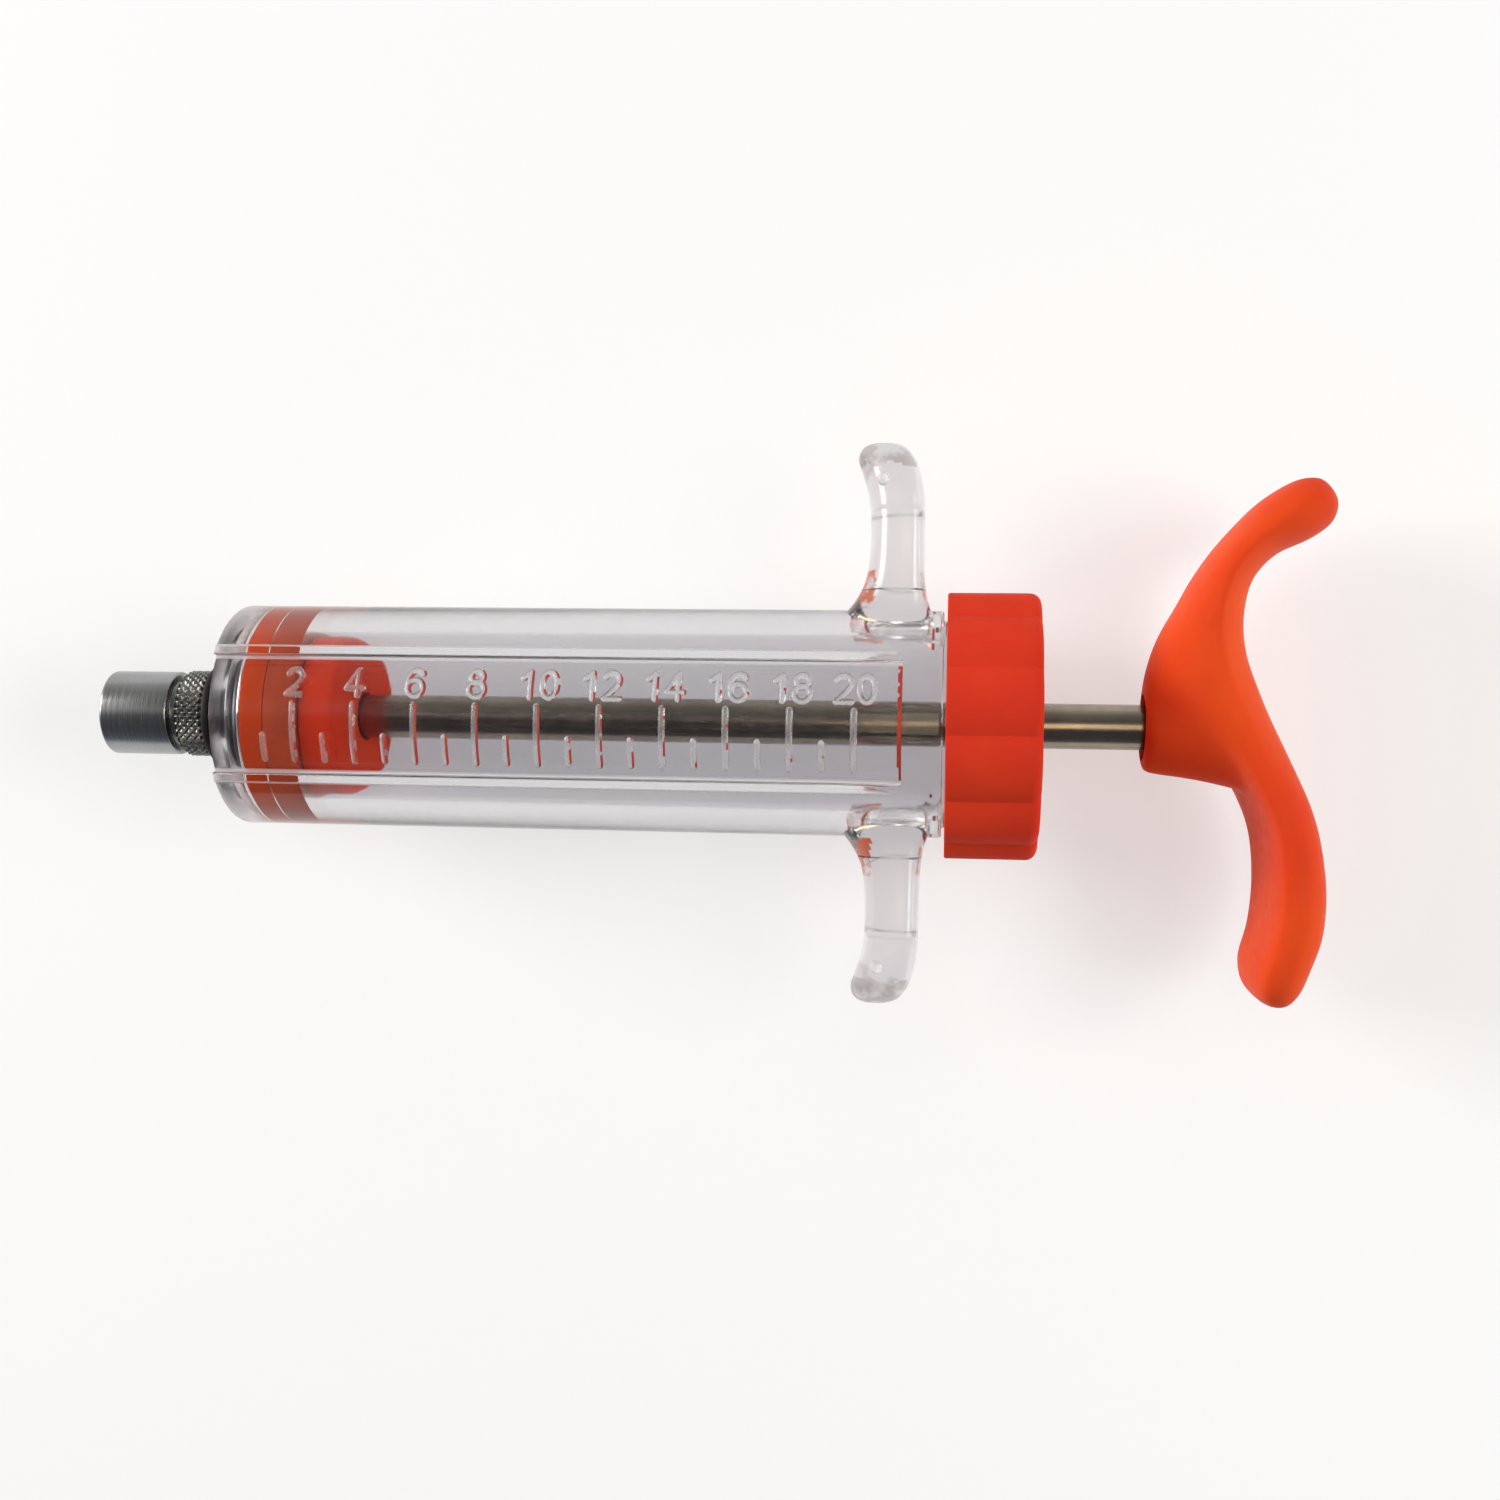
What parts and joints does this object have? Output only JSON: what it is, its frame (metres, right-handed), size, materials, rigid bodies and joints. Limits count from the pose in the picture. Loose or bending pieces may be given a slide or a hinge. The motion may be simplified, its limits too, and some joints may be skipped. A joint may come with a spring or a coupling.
{
  "type": "meat injector",
  "caption": "Hand injector with a clear graduated barrel, luer-lock nose, adjustable piston, screw end cap and S-shaped palm handle.",
  "frame": {"origin": "bottom centre of the whole object's box, with the injector lying on its back", "axes": "+X along the barrel towards the handle, +Y along a finger wing, +Z out of the scale window"},
  "size_m": [0.1354, 0.0608, 0.0289],
  "materials": {
    "clear_barrel": "clear moulded plastic with a faint grey-lavender tint",
    "nose_steel": "turned stainless steel, fine circular lines",
    "rod_steel": "drawn stainless steel rod",
    "orange_plastic": "moulded orange plastic, satin",
    "piston_plastic": "moulded orange plastic, satin",
    "seal_rubber": "brown-red silicone rubber",
    "black_rubber": "black rubber",
    "insert_brass": "turned brass"
  },
  "bodies": {
    "root": {"barrel": "clear_barrel", "luer_collar": "nose_steel", "luer_tip": "nose_steel", "knurled_ring": "nose_steel", "nose_gasket": "black_rubber", "nose_seal": "black_rubber"},
    "piston": {"piston_rear_cup": "piston_plastic", "piston_seal": "seal_rubber"},
    "front_plate": {"piston_front_plate": "piston_plastic", "piston_nut": "rod_steel"},
    "plunger": {"rod": "rod_steel", "handle": "orange_plastic", "handle_insert": "insert_brass"},
    "cap_carriage": {"cap_gasket": "black_rubber"},
    "cap": {"end_cap": "orange_plastic"}
  },
  "joints": [
    {"name": "plunger_slide", "type": "slide", "parent": "root", "child": "piston", "axis": [1, 0, 0], "range_m": [0, 0.07]},
    {"name": "plunger_turn", "type": "hinge", "parent": "piston", "child": "plunger", "pos_m": [0.02755, 0, 0.01446], "axis": [1, 0, 0], "range_deg": [0, 270]},
    {"name": "seal_squeeze", "type": "slide", "parent": "piston", "child": "front_plate", "axis": [1, 0, 0], "range_m": [0, 0.00061], "deforming": ["piston_seal"]},
    {"name": "cap_advance", "type": "slide", "parent": "root", "child": "cap_carriage", "axis": [1, 0, 0], "range_m": [0, 0.00805]},
    {"name": "cap_turn", "type": "hinge", "parent": "cap_carriage", "child": "cap", "pos_m": [0.02755, 0, 0.01446], "axis": [1, 0, 0], "range_deg": [0, 1440]}
  ],
  "couplings": [
    {"joint": "seal_squeeze", "follows": "plunger_turn", "m_per_rad": 0.00012732},
    {"joint": "cap_advance", "follows": "cap_turn", "m_per_rad": 0.00031831}
  ]
}
